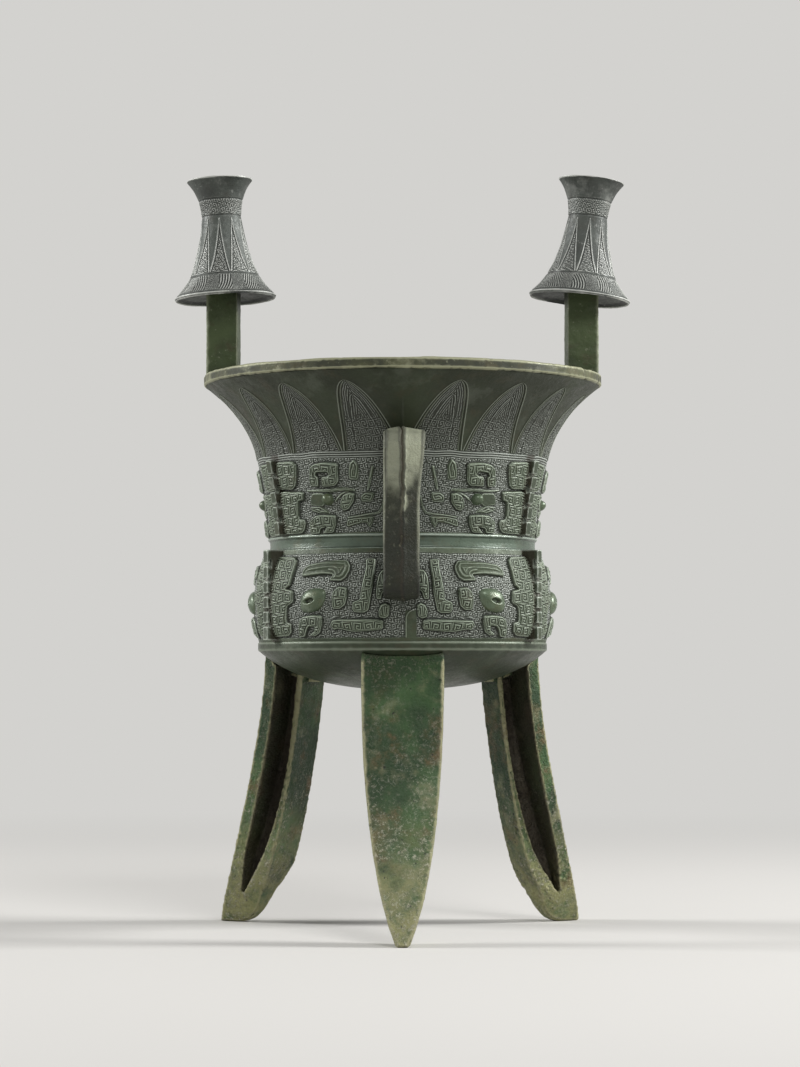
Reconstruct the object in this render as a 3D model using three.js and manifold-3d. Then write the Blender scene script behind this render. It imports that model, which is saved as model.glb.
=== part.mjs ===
// Bronze jia: a three-legged wine vessel with a flared neck, two capped posts on the rim and a strap handle.
// Millimetres, +Z up. The handle and the front leg face -Y. The table is at z = 0.
import * as THREE from 'three';
import { mergeVertices } from 'three/addons/utils/BufferGeometryUtils.js';
import Module from 'manifold-3d';

const wasm = await Module();
wasm.setup();

// Gap between pieces that touch
const clearance = 0.3;

// Heights of the body, stacked from the table upwards
const standHeight = 166;
const baseBandHeight = 5.5;
const lowerRegisterHeight = 53.5;
const waistBandHeight = 8.5;
const upperRegisterHeight = 50.5;
const neckHeight = 41.2;
const lipHeight = 6.8;
const baseDrop = 23;

// Radii of the body
const baseBandRadius = 86.9;
const baseFlatRadius = 60;
const lowerRegisterFootRadius = 86;
const bulgeRadius = 89.3;
const lowerRegisterTopRadius = 82.6;
const waistRadius = 80.3;
const shoulderRadius = 88.1;
const rimRadius = 120.1;
const lipOverhang = 1.7;
const lipTopWidth = 3.6;
const lipChamfer = 0.9;
const wall = 4;

// Curve of the neck: how far its first stretch leans out and rises
const neckLean = 5;
const neckRise = 22;

// Legs
const legTopInset = 4.2;
const legOuterBend = { radius: 84, height: 100 };
const footReach = 127.3;
const footLength = 17;
const legInnerTopRadius = 60.5;
const legInnerBend = { radius: 72.5, height: 46 };
const heelLength = 30.3;
const heelHeight = 8;
const bladeTopWidth = 48;
const bladeBend = { width: 49, height: 50 };
const footWidth = 7.6;
const bladeDepth = 11.5;
const strapThickness = 2.2;
const strapBend = { radius: 70, height: 50 };
const strapWidths = { front: 22, left: 29, right: 20 };
const rightLegAzimuth = 121.5;
const leftLegAzimuth = -119;
const webThickness = 5;
const recessFloor = 14.5;
const rootWidth = 15;
const rootDepth = 15;
const rootPadDepth = 4;
const rootSink = 2.2;

// Handle
const handleReach = 112;
const handleWidth = 20.8;
const handleThickness = 5;
const handleRidge = 1.4;
const handleRootRise = 5;
const handleFootRise = 27;
const handleCorner = 9;
const handleSink = 2;

// Posts and caps
const postAzimuth = 94;
const postDepth = 19;
const postWidth = 18;
const postInset = 1.6;
const postHeight = 47.5;
const postSink = 1.2;
const tongueDrop = 20;
const tongueThickness = 4;
const tongueSink = 1;
const socketDepth = 5;
const capHeight = 73.5;
const capInset = 1.2;
const capEdgeRadius = 30.9;
const capEdgeThickness = 1.6;
const capNeckRadius = 12;
const capNeckHeight = 50;
const capTopRadius = 20.1;
const capLipWidth = 2;
const capUnderDish = 3;
const capTopDish = 2.5;
const capSkirtBend = { radius: 15, height: 15.5 };
const capFlareBend = { radius: 12.4, height: 64.5 };
const capLeans = { left: 3, right: 6 };

// Flanges: notched plates that divide and centre the masks
const flangeStepAngle = 60;
const flangeThickness = 5.5;
const flangeNotchWidth = 2.2;
const flangeNotchDepth = 2.4;
const flangeSink = 1.2;
const upperFlangeTeeth = 5;
const upperFlangeStand = 5;
const upperFlangeFootGap = 0.6;
const upperFlangeTopGap = 6;
const lowerFlangeTeeth = 6;
const lowerFlangeReach = 93.2;
const lowerFlangeOverlap = 0.4;
const lowerFlangeGap = 1;

// Eyes: round bosses above, large rounded lozenges below, a mirrored pair to each mask
const upperEyeRadius = 3.3;
const upperEyeRise = 20.2;
const upperEyeSpread = 29.3;
const lowerEyeHalfWidth = 9;
const lowerEyeHalfHeight = 6.7;
const lowerEyeHalfDepth = 4.2;
const lowerEyeRise = 24;
const lowerEyeSpread = 25.2;

// Masks: the raised elements of one half. Their corners are hundredths of the way from the mask's own flange
// to the next one, and of the register's height.
const maskStand = 1.7;
const lowerMask = {
  column: [[4, 93], [25, 91], [20, 56], [25, 55], [26, 42], [20, 38], [18, 21], [23, 20], [18, 6], [4, 6]],
  horn: [[66, 80], [63, 87], [43, 85], [32, 79], [31, 70], [55, 72], [52, 65], [62, 64]],
  ear: [[65, 57], [59, 58], [55, 50], [56, 34], [61, 34], [65, 42]],
  body: [[83, 88], [76, 88], [74, 45], [69, 42], [69, 32], [78, 31], [82, 54]],
  hook: [[91, 77], [87, 76], [84, 66], [84, 45], [87, 44], [91, 55]],
  claw: [[87, 23], [56, 23], [54, 17], [57, 13], [68, 10], [87, 13]],
  jaw: [[48, 28], [33, 27], [30, 23], [28, 5], [33, 6], [37, 16], [42, 16], [37, 7], [44, 7], [48, 17]],
};
const upperMask = {
  upperColumn: [[4, 87], [25, 86], [21, 54], [4, 54]],
  lowerColumn: [[4, 52], [28, 51], [27, 40], [22, 39], [21, 19], [27, 18], [26, 5], [18, 2], [4, 2]],
  horn: [
    [58, 81], [47, 83], [37, 80], [34, 56], [41, 55], [41, 67],
    [50, 67], [46, 61], [46, 55], [54, 55], [57, 61],
  ],
  ear: [[68, 46], [64, 48], [60, 44], [57, 30], [60, 27], [63, 28], [67, 36]],
  jaw: [[54, 21], [45, 23], [37, 22], [32, 16], [32, 2], [39, 2], [40, 7], [46, 9], [43, 2], [51, 2]],
};

// Smoothness
const bodySides = 48;
const capSides = 32;
const curveSteps = 6;
const registerSteps = 4;
const legSteps = 10;
const heelSteps = 4;
const insideSteps = 3;
const handleSteps = 30;
const eyeSides = 12;

// Levels and places that follow from the sizes above
const lowerRegisterBottom = standHeight + baseBandHeight;
const waistBottom = lowerRegisterBottom + lowerRegisterHeight;
const upperRegisterBottom = waistBottom + waistBandHeight;
const neckBottom = upperRegisterBottom + upperRegisterHeight;
const lipBottom = neckBottom + neckHeight;
const rimTop = lipBottom + lipHeight;
const baseBottom = standHeight - baseDrop;
const capEdgeLevel = rimTop + postHeight;
const postOuterRadius = rimRadius - postInset;
const postInnerRadius = postOuterRadius - postDepth;
const capCentreRadius = postOuterRadius - postDepth / 2 - capInset;
const legAzimuths = { front: 0, right: rightLegAzimuth, left: leftLegAzimuth };
const flangeAzimuths = {
  right_front: flangeStepAngle,
  right_back: 2 * flangeStepAngle,
  back: 3 * flangeStepAngle,
  left_back: -2 * flangeStepAngle,
  left_front: -flangeStepAngle,
};
const maskAzimuths = {
  right: flangeAzimuths.right_front,
  back: flangeAzimuths.back,
  left: flangeAzimuths.left_front,
};

// Patinated bronze, one tone for each kind of piece
const bronze = (color, roughness) => new THREE.MeshStandardMaterial({ color, roughness, metalness: 0.5 });
const bodyBronze = bronze(0x3d5244, 0.55);
const legBronze = bronze(0x46684f, 0.6);
const handleBronze = bronze(0x6a6748, 0.55);
const postBronze = bronze(0x5c6b45, 0.5);
const capBronze = bronze(0x8d938c, 0.5);
const flangeBronze = bronze(0x47584a, 0.55);
const eyeBronze = bronze(0x4e7a5e, 0.4);

// Changes between geometry and closed solids
function toSolid(geometry) {
  const bare = geometry.clone();
  bare.deleteAttribute('normal');
  bare.deleteAttribute('uv');
  const merged = mergeVertices(bare, 1e-4);
  const corners = merged.index.array;
  const triangles = [];
  for (let i = 0; i < corners.length; i += 3) {
    const [a, b, c] = corners.slice(i, i + 3);
    if (a !== b && b !== c && c !== a) triangles.push(a, b, c);
  }
  const vertProperties = new Float32Array(merged.attributes.position.array);
  const triVerts = new Uint32Array(triangles);
  return new wasm.Manifold(new wasm.Mesh({ numProp: 3, vertProperties, triVerts }));
}

function toGeometry(solid) {
  const { vertProperties, triVerts } = solid.getMesh();
  const geometry = new THREE.BufferGeometry();
  geometry.setAttribute('position', new THREE.BufferAttribute(new Float32Array(vertProperties), 3));
  geometry.setIndex(new THREE.BufferAttribute(new Uint32Array(triVerts), 1));
  geometry.computeVertexNormals();
  return geometry;
}

const turned = (solid, azimuth) => toSolid(toGeometry(solid).rotateZ(THREE.MathUtils.degToRad(azimuth)));

// Outlines hold (radius, height) points
const point = (radius, height) => new THREE.Vector2(radius, height);

const bend = (from, control, to, steps = curveSteps) =>
  new THREE.QuadraticBezierCurve(from, control, to).getPoints(steps);

function offsetLine(line, distance) {
  return line.map((here, i) => {
    const before = line[Math.max(i - 1, 0)];
    const after = line[Math.min(i + 1, line.length - 1)];
    const along = after.clone().sub(before).normalize();
    if (here.x === 0) return point(0, here.y - distance);
    return point(here.x + along.y * distance, here.y - along.x * distance);
  });
}

function radiusAt(line, height) {
  const i = Math.max(line.findIndex((p) => p.y >= height), 1);
  const [low, high] = [line[i - 1], line[i]];
  return THREE.MathUtils.mapLinear(height, low.y, high.y, low.x, high.x);
}

// Solids from outlines. Each is made at azimuth 0, where outwards is -Y.
const revolved = (line, sides) => toSolid(new THREE.LatheGeometry(line, sides).rotateX(Math.PI / 2));

function sidePlate(outline, width) {
  const shape = new THREE.Shape(outline);
  const geometry = new THREE.ExtrudeGeometry(shape, { depth: width, bevelEnabled: false });
  geometry.translate(0, 0, -width / 2);
  const [outwards, up, across] = [
    new THREE.Vector3(0, -1, 0),
    new THREE.Vector3(0, 0, 1),
    new THREE.Vector3(-1, 0, 0),
  ];
  return toSolid(geometry.applyMatrix4(new THREE.Matrix4().makeBasis(outwards, up, across)));
}

function frontPlate(outline, innerRadius, outerRadius) {
  const shape = new THREE.Shape(outline);
  const depth = outerRadius - innerRadius;
  const geometry = new THREE.ExtrudeGeometry(shape, { depth, bevelEnabled: false });
  geometry.translate(0, 0, innerRadius);
  const [across, up, outwards] = [
    new THREE.Vector3(1, 0, 0),
    new THREE.Vector3(0, 0, 1),
    new THREE.Vector3(0, -1, 0),
  ];
  return toSolid(geometry.applyMatrix4(new THREE.Matrix4().makeBasis(across, up, outwards)));
}

// Outer surface of the body, stretch by stretch
const baseLine = bend(
  point(0, baseBottom),
  point(baseFlatRadius, baseBottom),
  point(lowerRegisterFootRadius, standHeight),
);
const bulgeBend = point(
  2 * bulgeRadius - (lowerRegisterFootRadius + lowerRegisterTopRadius) / 2,
  (lowerRegisterBottom + waistBottom) / 2,
);
const lowerLine = bend(
  point(lowerRegisterFootRadius, lowerRegisterBottom),
  bulgeBend,
  point(lowerRegisterTopRadius, waistBottom),
  registerSteps,
);
const neckBend = point(shoulderRadius + neckLean, neckBottom + neckRise);
const upperLine = bend(
  point(waistRadius, upperRegisterBottom),
  point(shoulderRadius - neckLean * upperRegisterHeight / neckRise / 2, neckBottom - upperRegisterHeight / 2),
  point(shoulderRadius, neckBottom),
  registerSteps - 1,
);
const neckLine = bend(point(shoulderRadius, neckBottom), neckBend, point(rimRadius - lipOverhang, lipBottom));
const wallLine = [...baseLine, ...lowerLine, ...upperLine, ...neckLine.slice(1)];

// Solid that fills the body, grown or shrunk by a distance
const skins = new Map();
function skin(distance) {
  if (!skins.has(distance)) {
    const line = offsetLine(wallLine, distance);
    const top = line[line.length - 1].y;
    skins.set(distance, revolved([...line, point(0, top)], bodySides));
  }
  return skins.get(distance);
}

function vesselShell() {
  const waistBand = [point(waistRadius, waistBottom), point(waistRadius, upperRegisterBottom)];
  const baseBand = [point(baseBandRadius, standHeight), point(baseBandRadius, lowerRegisterBottom)];
  const lip = [
    point(rimRadius, lipBottom + lipChamfer),
    point(rimRadius, rimTop - lipChamfer),
    point(rimRadius - lipChamfer, rimTop),
    point(rimRadius - lipTopWidth, rimTop),
  ];
  const floorLevel = baseBottom + wall;
  const bulgeInside = bend(
    point(lowerRegisterTopRadius - wall, waistBottom),
    point(bulgeBend.x - wall, bulgeBend.y),
    point(lowerRegisterFootRadius - wall, lowerRegisterBottom),
    insideSteps,
  );
  const floorInside = bend(
    point(lowerRegisterFootRadius - wall, lowerRegisterBottom),
    point(baseFlatRadius - wall, floorLevel),
    point(0, floorLevel),
    insideSteps,
  );
  return revolved([
    ...baseLine,
    ...baseBand,
    ...lowerLine,
    ...waistBand,
    ...upperLine.slice(1),
    ...neckLine.slice(1),
    ...lip,
    ...offsetLine(neckLine, -wall).reverse(),
    point(waistRadius - wall, upperRegisterBottom),
    ...bulgeInside,
    ...floorInside.slice(1),
  ], bodySides);
}

let vesselBody = vesselShell();

// Mask element: a plate of even height on the wall, on one hand or the other of its mask
const maskLayer = skin(maskStand).subtract(skin(-wall / 2));
function maskElement(corners, line, centre, hand) {
  const turns = corners.map(([along]) => along / 100 * flangeStepAngle);
  const middle = (Math.min(...turns) + Math.max(...turns)) / 2;
  const outline = corners.map(([, rise], i) => {
    const level = THREE.MathUtils.lerp(line[0].y, line[line.length - 1].y, rise / 100);
    const turn = THREE.MathUtils.degToRad(hand * (turns[i] - middle));
    return point(radiusAt(line, level) * Math.sin(turn), level);
  });
  const plate = frontPlate(outline, waistRadius / 2, rimRadius);
  return turned(plate, centre + hand * middle).intersect(maskLayer);
}

for (const centre of Object.values(maskAzimuths)) {
  for (const hand of [-1, 1]) {
    for (const [line, mask] of [[lowerLine, lowerMask], [upperLine, upperMask]]) {
      for (const corners of Object.values(mask)) {
        vesselBody = vesselBody.add(maskElement(corners, line, centre, hand));
      }
    }
  }
}

// Sinks a piece into the wall to a depth, and cuts its seat in the body
function seated(make, depth, azimuth) {
  const seat = make(clearance).subtract(skin(-depth - clearance));
  vesselBody = vesselBody.subtract(turned(seat, azimuth));
  return make(0).subtract(skin(-depth));
}

// Leg: a tapering outer blade and an inner strap, joined by a web and by the foot
function legBlank(strapWidth) {
  const top = standHeight - clearance;
  const bladeLine = (inset) => bend(
    point(footReach - inset, 0),
    point(legOuterBend.radius - inset, legOuterBend.height),
    point(baseBandRadius - legTopInset - inset, top),
    legSteps,
  );
  const innerTop = point(legInnerTopRadius, standHeight);
  const innerBend = point(legInnerBend.radius, legInnerBend.height);
  const heel = point(footReach - heelLength, heelHeight);
  const heelCorner = point(footReach - 0.9 * heelLength, 0);
  const sole = bend(heel, heelCorner, point(footReach - footLength, 0), heelSteps);
  const innerLine = [...bend(innerTop, innerBend, heel, legSteps), ...sole.slice(1)];
  const side = sidePlate([...bladeLine(0), ...innerLine], bladeTopWidth * 2);

  const halfBlade = bend(
    point(footWidth / 2, 0),
    point(bladeBend.width / 2, bladeBend.height),
    point(bladeTopWidth / 2, standHeight),
    legSteps,
  );
  const otherHalf = halfBlade.map((p) => point(-p.x, p.y)).reverse();
  const front = frontPlate([...halfBlade, ...otherHalf], 0, footReach * 2);

  const recessFoot = point(radiusAt(bladeLine(bladeDepth), recessFloor), recessFloor);
  const strapLine = bend(
    point(legInnerTopRadius + strapThickness, standHeight * 1.1),
    point(strapBend.radius, strapBend.height),
    recessFoot,
    legSteps,
  );
  const bladeBack = bladeLine(bladeDepth).filter((p) => p.y > recessFloor);
  const aboveBlade = point(bladeBack[bladeBack.length - 1].x, standHeight * 1.1);
  const recess = [...strapLine, ...bladeBack, aboveBlade];
  const strapSide = [point(0, 0), recessFoot, ...bladeBack, aboveBlade, point(0, standHeight * 1.1)];

  let blank = side.intersect(front);
  for (const hand of [-1, 1]) {
    const beside = (outline, halfGap) => toSolid(
      toGeometry(sidePlate(outline, bladeTopWidth)).translate(hand * (halfGap + bladeTopWidth / 2), 0, 0),
    );
    blank = blank.subtract(beside(recess, webThickness / 2));
    blank = blank.subtract(beside(strapSide, strapWidth / 2));
  }
  return blank;
}

function leg(strapWidth, azimuth) {
  const rootCentre = (baseBandRadius - legTopInset - bladeDepth + legInnerTopRadius + strapThickness) / 2;
  const rootBlock = (grow) => toSolid(
    new THREE.BoxGeometry(rootWidth + 2 * grow, rootDepth + 2 * grow, 2 * baseDrop)
      .translate(0, -rootCentre, standHeight - baseDrop / 2),
  );
  const root = seated(rootBlock, rootSink, azimuth).intersect(skin(rootPadDepth));
  return legBlank(strapWidth).subtract(skin(clearance)).add(root);
}

// Handle: a strap with a low ridge down its outer face, bent from the neck to the lower register
function handleStrap(grow) {
  const middle = handleReach - handleThickness / 2;
  const rootLevel = neckBottom + handleRootRise;
  const footLevel = lowerRegisterBottom + handleFootRise;
  const at = (radius, height) => new THREE.Vector3(0, -radius, height);
  const rootRadius = radiusAt(wallLine, rootLevel) - wall;
  const footRadius = radiusAt(wallLine, footLevel) - wall;
  const path = new THREE.CurvePath();
  path.add(new THREE.LineCurve3(at(rootRadius, rootLevel), at(middle - handleCorner, rootLevel)));
  path.add(new THREE.QuadraticBezierCurve3(
    at(middle - handleCorner, rootLevel),
    at(middle, rootLevel),
    at(middle, rootLevel - handleCorner),
  ));
  path.add(new THREE.LineCurve3(at(middle, rootLevel - handleCorner), at(middle, footLevel + handleCorner)));
  path.add(new THREE.QuadraticBezierCurve3(
    at(middle, footLevel + handleCorner),
    at(middle, footLevel),
    at(middle - handleCorner, footLevel),
  ));
  path.add(new THREE.LineCurve3(at(middle - handleCorner, footLevel), at(footRadius, footLevel)));

  const halfWidth = handleWidth / 2 + grow;
  const halfThick = handleThickness / 2 + grow;
  const section = new THREE.Shape([
    new THREE.Vector2(-halfThick, halfWidth),
    new THREE.Vector2(halfThick, halfWidth),
    new THREE.Vector2(halfThick, -halfWidth),
    new THREE.Vector2(-halfThick, -halfWidth),
    new THREE.Vector2(-halfThick - handleRidge, 0),
  ]);
  return toSolid(new THREE.ExtrudeGeometry(section, { steps: handleSteps, extrudePath: path }));
}

// Post: a square pillar on the rim with a tongue down the inside of the neck and its head in the cap
function postPillar(grow) {
  const tip = rimTop - tongueDrop - grow;
  const seatLevel = rimTop - postSink - grow;
  const inside = offsetLine(neckLine, -(wall - tongueSink - grow));
  const sunk = inside.filter((p) => p.y > tip && p.y < seatLevel).reverse();
  const tipRadius = radiusAt(inside, tip);
  const innerRadius = postInnerRadius - grow;
  return sidePlate([
    point(innerRadius, capEdgeLevel + capUnderDish + socketDepth + grow),
    point(postOuterRadius + grow, capEdgeLevel + capUnderDish + socketDepth + grow),
    point(postOuterRadius + grow, seatLevel),
    ...sunk,
    point(tipRadius, tip),
    point(tipRadius - tongueThickness - grow, tip),
    point(innerRadius, tip + tongueDrop / 2),
  ], postWidth + 2 * grow);
}

function post(azimuth) {
  vesselBody = vesselBody.subtract(turned(postPillar(clearance), azimuth));
  return postPillar(0);
}

// Cap: a waisted bell that leans a little outwards, with a square socket for the post
function cap(lean) {
  const neck = point(capNeckRadius, capNeckHeight);
  const skirt = bend(
    point(capEdgeRadius, capEdgeThickness),
    point(capSkirtBend.radius, capSkirtBend.height),
    neck,
  );
  const flare = bend(
    neck,
    point(capFlareBend.radius, capFlareBend.height),
    point(capTopRadius, capHeight),
  );
  const bell = new THREE.LatheGeometry([
    point(0, capUnderDish),
    point(capEdgeRadius, 0),
    ...skirt,
    ...flare.slice(1),
    point(capTopRadius - capLipWidth, capHeight),
    point(0, capHeight - capTopDish),
  ], capSides);
  bell.rotateX(Math.PI / 2);
  bell.rotateX(THREE.MathUtils.degToRad(lean));
  bell.translate(0, -capCentreRadius, capEdgeLevel);
  return toSolid(bell).subtract(postPillar(clearance));
}

// Flange: a plate from one level to another, with notches between its teeth
function flangePlate({ low, high, teeth, edgeAt }, grow) {
  const pitch = (high - low + flangeNotchWidth) / teeth;
  const edge = [];
  for (let tooth = 0; tooth < teeth; tooth += 1) {
    const bottom = low + tooth * pitch - grow;
    const top = bottom + pitch - flangeNotchWidth + 2 * grow;
    if (tooth > 0) edge.push(point(edgeAt(bottom) - flangeNotchDepth, bottom));
    edge.push(point(edgeAt(bottom), bottom), point(edgeAt(top), top));
    if (tooth < teeth - 1) edge.push(point(edgeAt(top) - flangeNotchDepth, top));
  }
  const inside = waistRadius - wall;
  const outline = [...edge, point(inside, high + grow), point(inside, low - grow)];
  return sidePlate(outline, flangeThickness + 2 * grow);
}

const upperFlange = {
  low: upperRegisterBottom + upperFlangeFootGap,
  high: neckBottom - upperFlangeTopGap,
  teeth: upperFlangeTeeth,
  edgeAt: (level) => radiusAt(upperLine, level) + upperFlangeStand,
};
const lowerFlange = {
  low: lowerRegisterBottom + lowerFlangeGap,
  high: waistBottom + lowerFlangeOverlap,
  teeth: lowerFlangeTeeth,
  edgeAt: () => lowerFlangeReach,
};

// Eye: a low rounded boss on the wall
function eyeBoss(line, rise, half) {
  const level = line[0].y + rise;
  const boss = new THREE.SphereGeometry(1, eyeSides, eyeSides / 2);
  boss.scale(half.width, half.depth, half.height);
  boss.translate(0, -radiusAt(line, level), level);
  return toSolid(boss).subtract(skin(clearance));
}

// The assembly stands with the middle of its footprint on the origin
const jia = new THREE.Group();
jia.position.y = (footReach - rimRadius) / 2;

function place(name, solid, azimuth, material) {
  const mesh = new THREE.Mesh(toGeometry(solid), material);
  mesh.name = name;
  mesh.rotation.z = THREE.MathUtils.degToRad(azimuth);
  jia.add(mesh);
}

for (const [side, azimuth] of Object.entries(legAzimuths)) {
  place(`${side}_leg`, leg(strapWidths[side], azimuth), azimuth, legBronze);
}

place('handle', seated(handleStrap, handleSink, 0), 0, handleBronze);

for (const [side, azimuth] of [['left', -postAzimuth], ['right', postAzimuth]]) {
  place(`${side}_post`, post(azimuth), azimuth, postBronze);
  place(`${side}_cap`, cap(capLeans[side]), azimuth, capBronze);
}

for (const [side, azimuth] of Object.entries(flangeAzimuths)) {
  const upper = (grow) => flangePlate(upperFlange, grow);
  const lower = (grow) => flangePlate(lowerFlange, grow);
  place(`upper_flange_${side}`, seated(upper, flangeSink, azimuth), azimuth, flangeBronze);
  place(`lower_flange_${side}`, seated(lower, flangeSink, azimuth), azimuth, flangeBronze);
}

const upperEyeHalf = { width: upperEyeRadius, depth: upperEyeRadius, height: upperEyeRadius };
const lowerEyeHalf = { width: lowerEyeHalfWidth, depth: lowerEyeHalfDepth, height: lowerEyeHalfHeight };
for (const [mask, centre] of Object.entries(maskAzimuths)) {
  for (const [number, hand] of [[1, -1], [2, 1]]) {
    const upper = eyeBoss(upperLine, upperEyeRise, upperEyeHalf);
    const lower = eyeBoss(lowerLine, lowerEyeRise, lowerEyeHalf);
    place(`upper_eye_${mask}_${number}`, upper, centre + hand * upperEyeSpread, eyeBronze);
    place(`lower_eye_${mask}_${number}`, lower, centre + hand * lowerEyeSpread, eyeBronze);
  }
}

place('vessel_body', vesselBody, 0, bodyBronze);

export default jia;
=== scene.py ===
"""Bronze jia vessel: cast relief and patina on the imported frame."""
from math import atan2, cos, hypot, radians, sin

import bpy
import numpy as np
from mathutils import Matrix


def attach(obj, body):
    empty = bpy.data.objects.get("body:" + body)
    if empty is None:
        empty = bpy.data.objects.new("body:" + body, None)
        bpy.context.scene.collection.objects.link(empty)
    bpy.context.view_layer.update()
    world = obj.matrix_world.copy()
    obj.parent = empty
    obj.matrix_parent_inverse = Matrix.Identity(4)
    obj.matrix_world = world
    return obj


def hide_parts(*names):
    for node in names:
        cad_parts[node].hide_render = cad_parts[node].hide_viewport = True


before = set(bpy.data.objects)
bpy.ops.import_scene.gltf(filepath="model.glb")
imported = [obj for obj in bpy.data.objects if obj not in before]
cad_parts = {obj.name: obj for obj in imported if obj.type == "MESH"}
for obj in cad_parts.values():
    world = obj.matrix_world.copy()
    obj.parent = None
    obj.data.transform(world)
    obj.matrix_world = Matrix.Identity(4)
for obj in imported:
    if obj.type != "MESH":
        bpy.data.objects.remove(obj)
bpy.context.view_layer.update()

# Sizes in millimetres. The vessel's axis stands a little behind the frame's origin.
MM = 0.001
AXIS_Y = 3.6

# Outer wall, as (radius, height) points of its curves
BASE_CURVE = ((0, 143), (60, 143), (86, 166))
BASE_BAND_RADIUS = 86.9
LOWER_CURVE = ((86, 171.5), (94.3, 198.25), (82.6, 225))
UPPER_CURVE = ((80.3, 233.5), (82.36, 258.75), (88.1, 284))
NECK_CURVE = ((88.1, 284), (93.1, 306), (118.4, 325.2))
RIM_RADIUS = 120.1
RIM_TOP = 332
WALL = 4
PIN = 0.03
LOWER_MASK_RADIUS = 88
UPPER_MASK_RADIUS = 84.5

# Wear from the surface's curvature: (rounds of averaging, depth in millimetres)
WEAR = (6, 0.35)
EDGE_WEAR = (4, 0.35)
RELIEF_WEAR = (3, 0.16)
CAP_WEAR = (4, 0.2)

# Relief
RAISE = 1.6
FAINT_RAISE = 0.6
LINE_RISE = 0.5
ELEMENT_CELL = 6.4
ELEMENT_PITCH = 1.6
QUILL_PITCH = 2.6
GROUND_RISE = 0.32
GROUND_CELL = 3.4
GROUND_PITCH = 1.2
GROUND_ROUGH = 0.12
PLAIN_RISE = 0.25
HALF_MASK = 60

# Half of a mask in each register: outlines of (distance from the flange, height in the register)
LOWER_MASK = {
    "column": [(0, 49.5), (22.9, 48.9), (20.7, 32.8), (17.1, 30.2), (23.3, 29.3), (23.5, 22.5), (18, 20.2),
        (17, 11.5), (20.9, 10.7), (20.1, 5.7), (16.9, 3.3), (0, 3.1)],
    "quill": [(61.1, 43.2), (58.9, 46.3), (53.5, 46.5), (47, 45.6), (40, 45.5), (32.9, 44.4), (29.1, 41.4),
        (28.7, 37.5), (41.4, 38.7), (50.9, 38.3), (48.3, 34.9), (56, 34.1), (59, 36), (60.9, 39.8)],
    "ear": [(60.2, 30.6), (54.7, 31), (51.7, 28.4), (51, 24.5), (51.5, 18.4), (55.9, 18.1), (59, 20.6),
        (60.2, 25.4)],
    "body": [(76.2, 47), (70.4, 47), (70.9, 40.7), (68.7, 29.2), (68.3, 24), (63.8, 22.4), (63.2, 18.4),
        (64.6, 16.4), (70.2, 16.2), (72.9, 17.7), (75.4, 29.1), (76.3, 43.1)],
    "hook": [(84, 41), (80.1, 40.6), (78.3, 37.3), (77.6, 31), (77.6, 24.2), (80.2, 23.8), (81.6, 28.1),
        (84, 29.5)],
    "knot": [(84.8, 20.5), (82.5, 22), (79.7, 20.7), (78.2, 17.2), (78.7, 13.8), (81.5, 12.9), (84, 14.3)],
    "claw": [(81, 12.6), (51.5, 12.3), (49.6, 9.4), (51.5, 6.4), (54.2, 7.2), (62.8, 5.4), (75.1, 6),
        (81, 6.8)],
    "jaw": [(44.6, 14.8), (37.8, 15.2), (31.1, 14.5), (28, 12.3), (26.6, 7.5), (26.2, 2.8), (30.6, 3),
        (32.5, 6.5), (34.5, 8.8), (38.6, 8.8), (38, 6.2), (34.2, 4), (38.1, 3.4), (42, 5.3), (43.9, 9.3)],
}
UPPER_MASK = {
    "column": [(0, 43.7), (21.7, 43.2), (18.3, 27.2), (0, 27.2)],
    "lower column": [(0, 26.2), (24.7, 25.6), (23.6, 20.3), (19.8, 19.6), (18.7, 9.7), (23.7, 9.1),
        (24.4, 6.8), (23.1, 3.5), (21, 1.6), (16.3, 0.8), (0, 0.8)],
    "horn": [(51.2, 41), (41.7, 41.7), (35.1, 40.7), (31.4, 38.4), (30.1, 28.3), (36.2, 27.9), (36.7, 33),
        (35.2, 34.2), (36.2, 35.9), (43.4, 36), (44.5, 34.6), (43, 33.4), (39.3, 33.2), (38.9, 28.3),
        (40, 27.9), (47.8, 27.9), (50.4, 30.7)],
    "ear": [(59.9, 23.4), (56.6, 24), (52.9, 22.4), (51.3, 19.2), (50.8, 15.1), (53.2, 13.4), (56, 14.2),
        (59, 18.2)],
    "jaw": [(47.4, 10.8), (40, 11.4), (33.1, 11.1), (28.3, 7.9), (27.9, 0.9), (34.5, 0.8), (35.8, 3.5),
        (40.4, 4.5), (38.6, 2.2), (36.9, 0.9), (44.9, 1.1), (46.9, 5.3)],
}
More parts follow.
